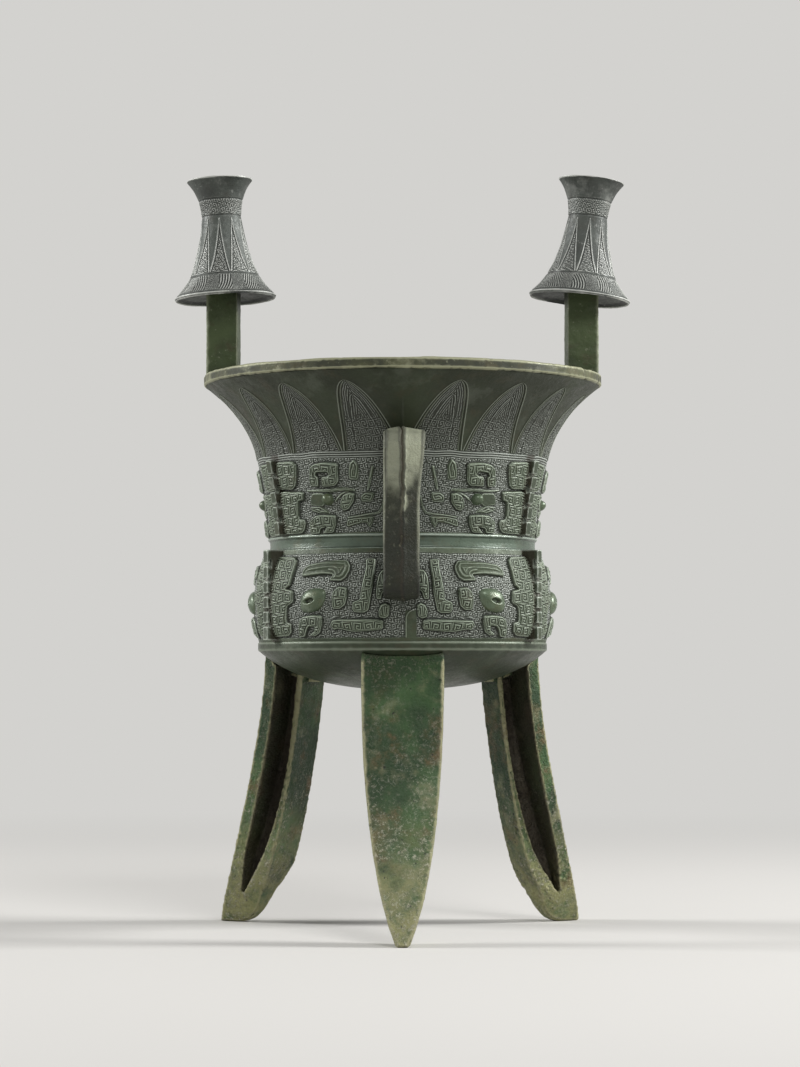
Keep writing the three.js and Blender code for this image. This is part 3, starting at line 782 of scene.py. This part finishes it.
def turned_piece(name, line, material, columns=360, step=0.9, dents=0.15, relief=None):
    """A plain turned part of the body, a little uneven."""
    line = resampled(line, step)
    azimuths = np.linspace(0, 360, columns, endpoint=False)
    flat = turned_points(line, azimuths)
    heights = dents * noise(flat, 14, 21) + 0.4 * dents * noise(flat, 3, 22)
    if relief is not None:
        heights = heights + relief(flat)
    points = turned_points(line, azimuths, heights)
    add_piece(name, points, material, "body_bronze", ["vessel_body"], closed=True)


waist_line = [(79.5, 224.6), (81.6, 224.9), (81.2, 225.5), (80, 226), (79.7, 229), (79.9, 231.6),
              (80.9, 232.4), (81.2, 233), (80.6, 233.7), (79.3, 233.8)]
turned_piece("waist_band", waist_line, BAND, step=0.5, dents=0.1)
base_line = [(85, 165.4), (BASE_BAND_RADIUS - 0.6, 166.1), (BASE_BAND_RADIUS, 166.8),
             (BASE_BAND_RADIUS, 170.8), (BASE_BAND_RADIUS - 0.6, 171.5), (85.2, 171.6)]
turned_piece("base_band", base_line, BOWL, step=0.5)
turned_piece("bowl", [(PIN, BASE_CURVE[0][1]), *bend(BASE_CURVE, 60)[1:]], BOWL)
inside_neck = bend(NECK_CURVE, 40)
inside_neck = (inside_neck - outward(inside_neck) * WALL)[::-1]
rim_line = [(117.4, 324.7), (119.2, 325.3), (RIM_RADIUS, 326.2), (RIM_RADIUS, 331),
            (RIM_RADIUS - 0.9, RIM_TOP), (RIM_RADIUS - 3.4, RIM_TOP), (116.2, 331.2), (115.8, 328.2)]
inside_line = [(116, 329.5), *inside_neck, (76.3, 233.5),
               *bend(((78.6, 225), (90.3, 198.25), (82, 171.5)), 20),
               *bend(((82, 171.5), (56, 147), (PIN, 147)), 30)]


def worn_lumps(points):
    """Low lumps and a few shallow chips along the rim."""
    chips = 0.6 * smooth(noise(points, 12, 91), 0.45, 0.85)
    crumbs = 0.12 * smooth(noise(points, 2.5, 92), 0.1, 0.8)
    return 0.3 * noise(points, 16, 93) - 0.25 - chips - crumbs


turned_piece("rim", rim_line, RIM, columns=900, step=0.6, relief=worn_lumps)
turned_piece("inside", inside_line, BOWL, step=1.4)


# Legs and posts: the solids with rounded edges, dents and pits

def voxelled(mesh, voxel, rounding):
    """A fine, even copy of a closed mesh with softened edges."""
    blank = add_object("blank", mesh)
    remesh = blank.modifiers.new("voxels", "REMESH")
    remesh.mode = "VOXEL"
    remesh.voxel_size = voxel * MM
    soft = blank.modifiers.new("rounding", "SMOOTH")
    soft.iterations = rounding
    evaluated = blank.evaluated_get(bpy.context.evaluated_depsgraph_get())
    fine = bpy.data.meshes.new_from_object(evaluated)
    bpy.data.objects.remove(blank)
    return fine


def displace(mesh, places, heights):
    """Moves places in millimetres along the normals, but not below the table."""
    places = places + vertex_normals(mesh) * heights[:, None]
    places[:, 2] = np.maximum(places[:, 2], 0)
    mesh.vertices.foreach_set("co", (places * MM).astype(np.float32).ravel())
    mesh.update()


def weathered(node, material, slot, azimuth=None):
    """A CAD solid remeshed finely with worn edges; a leg is given by its azimuth."""
    mesh = voxelled(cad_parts[node].data.copy(), VOXEL, ROUNDING)
    places = vertex_places(mesh) / MM
    edges = smooth(edge_wear(mesh, *EDGE_WEAR), 0.6, 0.9)
    heights = DENTS * (noise(places, 22, 31) + 0.3 * noise(places, 6, 32) + 0.5 * noise(places, 2.2, 34))
    crumbs = 0.3 * smooth(noise(places, 2, 33), 0, 0.7)
    heights = heights - edges * (crumbs + 1.4 * smooth(places[:, 2], 9, 0))
    shares = {}
    if azimuth is not None:
        lift_heel(places, azimuth)
        thin_blade(places, azimuth)
        eaten = smooth(noise(places, 14, 35), -0.1, 0.5) * smooth(places[:, 2], 130, 50)
        heights = heights + eaten * (0.28 * noise(places, 2.4, 36) + 0.2 * noise(places, 1.4, 37))
        lumps, shares["dirt"] = clay_in_recess(places, vertex_normals(mesh), azimuth)
        heights = heights + lumps
        shares["calm"] = smooth(places[:, 2], 158, 163)
    displace(mesh, places, heights)
    finish_piece(f"{node}_cast", mesh, material, slot, [node], **shares)


def lift_heel(places, azimuth):
    """Rounds the heel off the table behind the toe."""
    out = spoke_axes(places, azimuth)[0]
    behind = np.clip((out[places[:, 2] < 2].max() - HEEL_START - out) / HEEL_LENGTH, 0, 1.2)
    places[:, 2] += HEEL_LIFT * behind ** 2 * (1 - smooth(places[:, 2], 2, HEEL_HEIGHT))


def slices(places, out):
    """The slice of height of each place, and how far out each slice reaches."""
    level = (places[:, 2] / LEVEL).astype(int)
    outer = np.zeros(level.max() + 1)
    np.maximum.at(outer, level, out)
    return level, outer


def thin_blade(places, azimuth):
    """Widens the recess by a thinner blade; the outer face stays."""
    out, _, out_axis, _ = spoke_axes(places, azimuth)
    outer = slices(places, out)[1]
    depth = np.interp(places[:, 2], LEVEL * np.arange(len(outer)) + LEVEL / 2, outer) - out
    trim = BLADE_TRIM * smooth(depth, 2, 11) * smooth(depth, 22, 13) * smooth(places[:, 2], 20, 45)
    places += trim[:, None] * out_axis


def clay_in_recess(places, normals, azimuth):
    """Lumps of clay on the web of a leg, and a share of clay colour on the web with painted shade in the
    recess and on the leg's top.
    """
    out, across, out_axis, across_axis = spoke_axes(places, azimuth)
    level, outer = slices(places, out)
    inner = np.full(len(outer), np.inf)
    np.minimum.at(inner, level, out)
    facing = normals @ out_axis
    # Faces deep in the recess, which get painted shade
    within = smooth(facing, 0.3, 0.7) * smooth(outer[level] - out, 7, 10)
    within = np.maximum(within, smooth(-facing, 0.3, 0.7) * smooth(out - inner[level], 5, 8))
    # Faces of the web, which get clay colour
    on_web = smooth(np.abs(normals @ across_axis), 0.6, 0.9) * smooth(np.abs(across), 6, 4)
    on_web *= smooth(places[:, 2], 18, 30)
    lumps = smooth(noise(places, 15, 41), -0.1, 0.6) * CLAY_RISE + 0.5 * noise(places, 3, 42)
    # Painted shade on the leg's top under the body
    shaded_top = 0.5 * smooth(places[:, 2], 161, 165)
    inside = within * (0.8 + 0.15 * noise(places, 7, 43)) * smooth(places[:, 2], 14, 24)
    dirt = np.maximum(np.maximum(on_web, inside) * 0.95, shaded_top)
    return on_web * lumps, np.clip(dirt, 0, 1)


for side, azimuth in LEG_AZIMUTHS.items():
    weathered(f"{side}_leg", LEG, "leg_bronze", azimuth)
for side in ("left", "right"):
    weathered(f"{side}_post", POST, "post_bronze")


# Handle: a strap swept along its path

def strap_section():
    """Outline of the strap, as (across, outwards): a roof-shaped face and a flat back."""
    half_width = HANDLE_WIDTH / 2
    half_thick = HANDLE_THICKNESS / 2
    face = half_width - HANDLE_BEVEL
    corners = [(0, half_thick + HANDLE_RIDGE), (face, half_thick), (half_width, half_thick - HANDLE_BEVEL),
               (half_width, HANDLE_BEVEL - half_thick), (face, -half_thick)]
    mirrored = [(-across, out) for across, out in corners[:0:-1]]
    return resampled([*corners, *mirrored, corners[0]], 0.5)[:-1]


def handle_path():
    """Middle line of the strap from root to root, as (radius, height)."""
    front = HANDLE_REACH - HANDLE_THICKNESS / 2
    back = front - HANDLE_CORNER
    top_corner = ((back, HANDLE_TOP), (front, HANDLE_TOP), (front, HANDLE_TOP - HANDLE_CORNER))
    foot_corner = ((front, HANDLE_FOOT + HANDLE_CORNER), (front, HANDLE_FOOT), (back, HANDLE_FOOT))
    corners = [*bend(top_corner, 20), *bend(foot_corner, 20)]
    return resampled([(HANDLE_ROOT_TOP, HANDLE_TOP), *corners, (HANDLE_ROOT_FOOT, HANDLE_FOOT)], 0.7)


def handle():
    """The strap with its ridge, crack, step, worn edges, painted light on its upper face and painted shade
    along the crack.
    """
    path = handle_path()
    normals = -outward(path)
    across, thick = strap_section().T
    flare = smooth(path[:, 1, None], 232, 292) ** 2
    upper = smooth(path[:, 1, None], 235, 262)
    trail = joined(*path.T)
    wander = 0.6 * noise(trail, 14, 53) + 0.6 * noise(trail, 4.5, 59) + 0.3 * noise(trail, 1.8, 60)
    wander = wander[:, None]
    broken = np.maximum(upper, smooth(noise(trail, 6, 55)[:, None], 0, 0.5))
    rough = 0.6 + 0.6 * noise(trail, 2.5, 56)[:, None]
    on_face = thick > HANDLE_THICKNESS / 2 + 0.2
    crack = 1.3 * ridge(across, wander - 0.9, 0.6) * broken * on_face
    seam = (0.25 + 0.5 * upper) * rough * ridge(across, wander + 0.4, 0.7) * on_face
    step = 0.6 * upper * smooth(across, wander - 0.5, wander - 1.3) * on_face
    out = thick + seam + step - crack
    radius = path[:, 0, None] + normals[:, 0, None] * out
    height = path[:, 1, None] + normals[:, 1, None] * out
    sideways = HANDLE_SHIFT + across * np.where(across < 0, 1.09, 0.9 + 0.32 * flare)
    points = joined(sideways, AXIS_Y - radius, height)
    points[..., 1] += 0.25 * noise(points, 9, 51) + 0.1 * noise(points, 2.5, 52)
    points[..., 0] += 0.2 * noise(points, 11, 54)
    ragged = points[..., 2] + 7 * noise(points, 9, 57) + 4 * noise(points, 2.5, 61)
    # Painted light over the upper face, stronger right of the crack; pale worn strips along both edges
    # below
    wear_and_painted_light = (0.7 + 0.3 * smooth(across, wander - 1, wander + 1)) * smooth(ragged, 252, 272) * on_face
    wear_and_painted_light = np.maximum(wear_and_painted_light, 0.6 * smooth(across, 8.2, 9.4) * smooth(ragged, 205, 240))
    wear_and_painted_light = np.maximum(wear_and_painted_light, 0.7 * smooth(-across, 9.2, 9.9) * smooth(ragged, 205, 235))
    splash = smooth(ragged, 232, 250) * smooth(noise(points, 3, 58), -0.3, 0.3)
    splash = splash * ridge(across, wander + 1, 1.4)
    # Painted shade along the line of the crack
    dark = ridge(across, wander - 0.9, 0.7) * np.maximum(broken, 0.6) * on_face
    add_piece("handle_cast", points, HANDLE, "handle_bronze", ["handle"], closed=True,
              ground=np.maximum(wear_and_painted_light, splash * on_face), dirt=dark)


handle()


# Caps: waisted bells with fine cast lines

def cap_relief(line, azimuths):
    """Slanting lines on the skirt, triangles above them and a collar of spirals."""
    across = np.radians(azimuths)[None, :] * line[:, 0, None]
    up = np.broadcast_to(line[:, 1, None], across.shape)
    slant = np.where(np.floor(azimuths / CAP_SLANT_TURN) % 2 > 0, 1, -1)
    band = smooth(up, 3, 3.6) * smooth(up, 13.2, 12.6)
    height = 0.22 * np.cos(2 * np.pi * (slant * across + up) / 1.6) * band
    for level in CAP_GROOVES:
        height = height - CAP_GROOVE_DEPTH * ridge(up, level, 0.4)
    share = (azimuths * CAP_TRIANGLES / 360) % 1
    rise = (up - CAP_TRIANGLE_FOOT) / CAP_TRIANGLE_HEIGHT
    depth = (0.47 * (1 - rise) - np.abs(share - 0.5)) * line[:, 0, None] * 2 * np.pi / CAP_TRIANGLES
    triangles = 0.34 * ridge(depth, 0.1, 0.38) - 0.3 * ridge(depth, 0.85, 0.35)
    triangles = triangles + 0.42 * (spirals(across, up, 2.6, 1.1) - 0.5) * smooth(depth, 1.1, 1.5)
    height = height + np.where((rise > 0) & (rise < 1), triangles, 0)
    collar = smooth(up, 51.4, 51.8) * smooth(up, 60.2, 59.8)
    return height + 0.36 * (spirals(across, up, 2.9, 1.2) - 0.5) * collar


def cap(side, azimuth):
    """A turned cap that leans outwards on its post."""
    bell = [*bend(CAP_SKIRT, 60), *bend(CAP_FLARE, 40)[1:]]
    outside = resampled([(30.2, 0.2), *bell, (19.4, 73.1), (18.2, 72.9)], 0.42)
    top = resampled([(18, 72.5), (14, 71.2), (PIN, 70.6)], 1.2)
    under = resampled([(PIN, 4), (18, 3.6), (27, 2.2), (30, 0.2)], 1.2)
    line = np.concatenate([under, outside, top])
    azimuths = np.linspace(0, 360, CAP_COLUMNS, endpoint=False)
    heights = cap_relief(line, azimuths)
    heights[:len(under)] = 0
    heights[len(under) + len(outside):] = 0
    flat = turned_points(line, azimuths)
    heights += 0.3 * noise(flat, 14, 63) + 0.15 * noise(flat, 6, 61) + 0.07 * noise(flat, 2, 62)
    points = turned_points(line, azimuths, heights) - (0, AXIS_Y, 0)
    lean = radians(CAP_LEANS[side])
    x, y, z = np.moveaxis(points, -1, 0)
    leaning = y * cos(lean) - z * sin(lean) - CAP_CENTRE_RADIUS
    z = y * sin(lean) + z * cos(lean) + CAP_LEVEL
    turn = radians(azimuth)
    sideways = x * cos(turn) - leaning * sin(turn)
    backwards = x * sin(turn) + leaning * cos(turn) + AXIS_Y
    placed = joined(sideways, backwards, z)
    underside = np.zeros(placed.shape[:2])
    underside[:len(under) - 1] = 1
    add_piece(f"{side}_cap_cast", placed, CAP, "cap_bronze", [f"{side}_cap"], CAP_WEAR, closed=True,
              ground=underside)


cap("left", -CAP_AZIMUTH)
cap("right", CAP_AZIMUTH)


# Flanges

def wall_radius(curve, height):
    line = bend(curve, 60)
    return np.interp(height, line[:, 1], line[:, 0])


def flange_outline(low, high, teeth, curve, edge_at):
    """Side view of a flange, as (radius, height): teeth and hooked notches."""
    pitch = (high - low) / teeth
    edge = []
    for tooth in range(teeth):
        bottom = low + tooth * pitch
        top = bottom + pitch
        over = NOTCH_OVER if tooth > 0 else [(0, 0)]
        under = NOTCH_UNDER if tooth < teeth - 1 else [(0, 0)]
        edge += [(edge_at(bottom) - depth, bottom + up) for depth, up in over]
        edge += [(edge_at(top) - depth, top + up) for depth, up in under]
    wall = [(wall_radius(curve, z) - FLANGE_ROOT, z) for z in np.linspace(high, low, 8)]
    return edge + wall


def flange(name, outline, azimuth):
    """A flange cut from its side view, with rounded edges and painted shade on its sides towards the wall.
    """
    outline = np.array(outline)
    count = len(outline)
    half = FLANGE_THICKNESS / 2
    points = []
    turn = radians(azimuth)
    for across in (-half, half):
        for radius, height in outline:
            x = across * cos(turn) + radius * sin(turn)
            y = AXIS_Y + across * sin(turn) - radius * cos(turn)
            points.append((x * MM, y * MM, height * MM))
    flat_faces = [tuple(range(count)), tuple(range(2 * count - 1, count - 1, -1))]
    edge_faces = [(i, i + count, (i + 1) % count + count, (i + 1) % count) for i in range(count)]
    mesh = bpy.data.meshes.new(name)
    mesh.from_pydata(points, [], flat_faces + edge_faces)
    fine = voxelled(mesh, FLANGE_VOXEL, FLANGE_ROUNDING)
    places = vertex_places(fine) / MM
    displace(fine, places, 0.12 * noise(places, 4, 71) + 0.05 * noise(places, 1.5, 72))
    out, _, _, across_axis = spoke_axes(places, azimuth)
    sides = smooth(np.abs(vertex_normals(fine) @ across_axis), 0.5, 0.85)
    # Painted shade over the flange's sides, fading out towards the outer edge
    painted_shade = FLANGE_PAINTED_SHADE * sides * smooth(outline[:, 0].max() - out, 0.8, 3)
    finish_piece(f"{name}_cast", fine, FLANGE, "flange_bronze", [name], dirt=painted_shade)


def upper_edge(height):
    return wall_radius(UPPER_CURVE, height) + UPPER_FLANGE_STAND


def lower_edge(_):
    return LOWER_FLANGE_REACH


upper_outline = flange_outline(*UPPER_FLANGE, UPPER_CURVE, upper_edge)
lower_outline = flange_outline(*LOWER_FLANGE, LOWER_CURVE, lower_edge)
for side, azimuth in FLANGES.items():
    flange(f"upper_flange_{side}", upper_outline, azimuth)
    flange(f"lower_flange_{side}", lower_outline, azimuth)


# Eyes

def eye(name, centre, hand, curve, height, spread, stand, bulge, slit, outline):
    """A rounded boss beside its mask's flange, with an oval slit or without."""
    side = np.linspace(-1, 1, EYE_STEPS)
    u, v = np.meshgrid(side, side)
    x = u * np.sqrt(1 - v * v / 2)
    y = v * np.sqrt(1 - u * u / 2)
    edge = rounded(outline, 0.25, 3)
    edge = resampled([*edge, edge[0]], 0.3)[:-1]
    edge_turn = np.arctan2(edge[:, 1], edge[:, 0])
    reach = np.interp(np.arctan2(y, x), edge_turn, np.hypot(*edge.T), period=2 * np.pi)
    across = x * reach
    up = y * reach
    dome = stand * (1 - np.clip(np.hypot(x, y), 0, 1) ** bulge) ** 0.55
    if slit:
        along = across + SLIT_SHIFT
        slot = np.hypot(along / SLIT_HALF_LENGTH, (up + SLIT_DROP - SLIT_TILT * along) / SLIT_HALF_HEIGHT)
        dome = dome + SLIT_LIP * ridge(slot, 1.3, 0.3) - SLIT_DEPTH * smooth(slot, 1.1, 0.5)
    wall = wall_radius(curve, height + up)
    azimuth = centre + hand * (spread + np.degrees(across / wall))
    points = around(wall - 0.5 + dome, azimuth, height + up)
    points = points + noise(points, 3, 81)[..., None] * 0.06
    add_piece(f"{name}_cast", points, EYE, "eye_bronze", [name], hand=hand)


for mask, centre in MASKS.items():
    for number, hand in ((1, -1), (2, 1)):
        for register, form in EYES.items():
            eye(f"{register}_eye_{mask}_{number}", centre, hand, **form)


# Floor, light and camera, in metres apart from the floor's radii

BACKGROUND = "d3d2cf"
FLOOR_TONES = ("cfcdc9", "d5d3cf")
FLOOR_FADE = (0.35, 1.6)
FLOOR_RADII = (50, 40000)
FILL_LIGHT = 0.22
LAMP_AIM = (0, 0, 0.24)
# Lamps: place, size and power in watts
LAMPS = {
    "right": ((2.1, 0.1, 1.3), 0.6, 54),
    "left": ((-2.1, 0.25, 1.2), 0.6, 36),
    "front": ((0.8, -2.0, 2.0), 0.9, 27),
}
CAMERA_LENS = 101.2
CAMERA_SENSOR = 36
CAMERA_PLACE = (-0.0015, (AXIS_Y - 1807) * MM, 0.152)
CAMERA_TILT = 92.7


def floor():
    """Pale paper that fades into the background."""
    shader = Shader("floor paper")
    mottle = shader.noise(900, 3, 0.5)
    shader.feed(shader.surface.inputs["Base Color"], shader.blend(mottle, *FLOOR_TONES))
    shader.surface.inputs["Roughness"].default_value = 0.9
    away = shader.add("VectorMath", {0: shader.places}, operation="LENGTH").outputs["Value"]
    glow = shader.add("Emission", {"Color": BACKGROUND, "Strength": 1.0})
    far = shader.product(shader.ramp(away, *FLOOR_FADE), shader.shown_directly())
    shader.mix_into("Material Output", far, shader.surface, glow)
    rings = 24
    spokes = 96
    radius = np.geomspace(*FLOOR_RADII, rings)[:, None]
    turn = np.linspace(0, 2 * np.pi, spokes, endpoint=False)[None, :]
    points = joined(radius * np.cos(turn), radius * np.sin(turn))
    points = np.concatenate([points.reshape(-1, 3), [[0, 0, 0]]])
    faces = grid_faces(rings, spokes, closed=True).tolist()
    faces += [[i, (i + 1) % spokes, len(points) - 1] for i in range(spokes)]
    mesh = bpy.data.meshes.new("floor")
    mesh.from_pydata((points * MM).tolist(), [], faces)
    mesh.materials.append(shader.material)
    made = add_object("floor", mesh)


def lamp(name, place, size, power):
    """A square lamp that looks at the vessel."""
    light = bpy.data.lights.new(name, "AREA")
    light.energy = power
    light.size = size
    made = add_object(name, light)
    made.location = place
    away = np.array(place) - np.array(LAMP_AIM)
    flat = hypot(away[0], away[1])
    made.rotation_euler = (atan2(flat, away[2]), 0, atan2(away[0], -away[1]))


def studio():
    """Soft light all round under a plain background, and the lamps."""
    world = bpy.data.worlds.new("studio")
    bpy.context.scene.world = world
    nodes = Nodes(world)
    light = nodes.tree.nodes["Background"]
    nodes.feed(light.inputs["Color"], "ffffff")
    nodes.feed(light.inputs["Strength"], FILL_LIGHT)
    shown = nodes.add("Background", {"Color": BACKGROUND, "Strength": 1})
    nodes.mix_into("World Output", nodes.shown_directly(), light, shown)
    for name, (place, size, power) in LAMPS.items():
        lamp(name, place, size, power)


def camera():
    """Far and low in front of the handle, tilted up a little."""
    lens = bpy.data.cameras.new("camera")
    lens.sensor_width = CAMERA_SENSOR
    lens.lens = CAMERA_LENS
    made = add_object("camera", lens)
    made.location = CAMERA_PLACE
    made.rotation_euler = (radians(CAMERA_TILT), 0, 0)
    bpy.context.scene.camera = made


floor()
studio()
camera()
bpy.context.scene.view_settings.view_transform = "Standard"
